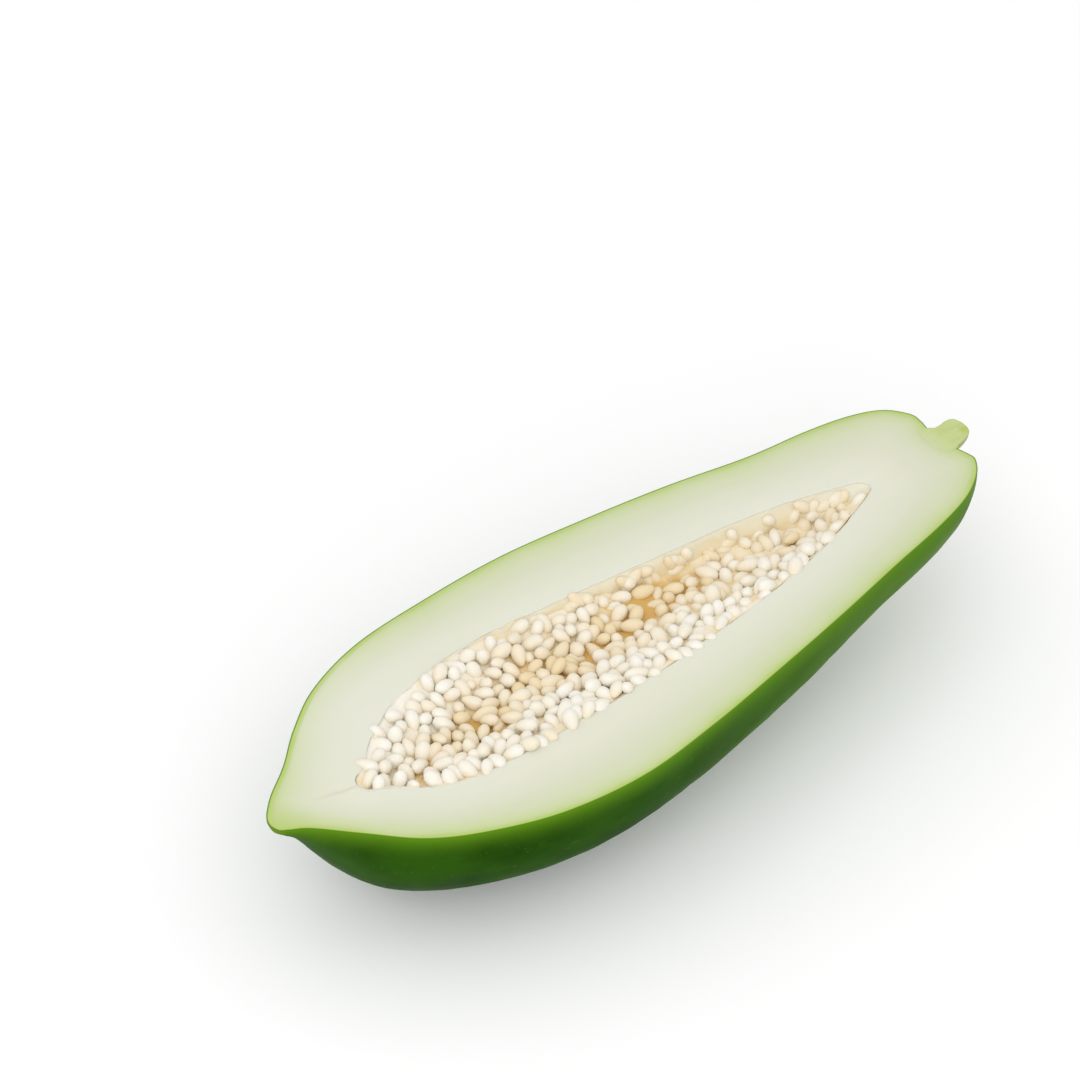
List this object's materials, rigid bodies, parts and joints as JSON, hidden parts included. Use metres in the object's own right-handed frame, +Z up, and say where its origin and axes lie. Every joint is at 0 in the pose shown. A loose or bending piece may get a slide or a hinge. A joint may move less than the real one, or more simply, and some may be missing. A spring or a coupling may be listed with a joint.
{
  "type": "halved green papaya",
  "caption": "Half of an unripe papaya cut lengthwise, lying on its back: skin, pale flesh, seed cavity with its lining and seeds, and a split stub of stem.",
  "frame": {"origin": "middle of the footprint, on the surface that the half lies on", "axes": "+X from the blossom tip to the stem; +Y to the hollow side of the slightly bent fruit; +Z up, out of the cut face"},
  "size_m": [0.2498, 0.0918, 0.0473],
  "materials": {
    "skin": "waxy green skin, satin",
    "flesh": "moist cream flesh, lime under the skin",
    "placenta": "soft tan tissue",
    "seeds": "smooth ivory, moist",
    "stem": "fibrous, pale lime"
  },
  "bodies": {
    "root": {"skin": "skin", "flesh": "flesh", "placenta": "placenta", "seeds": "seeds", "stem": "stem"}
  },
  "joints": []
}
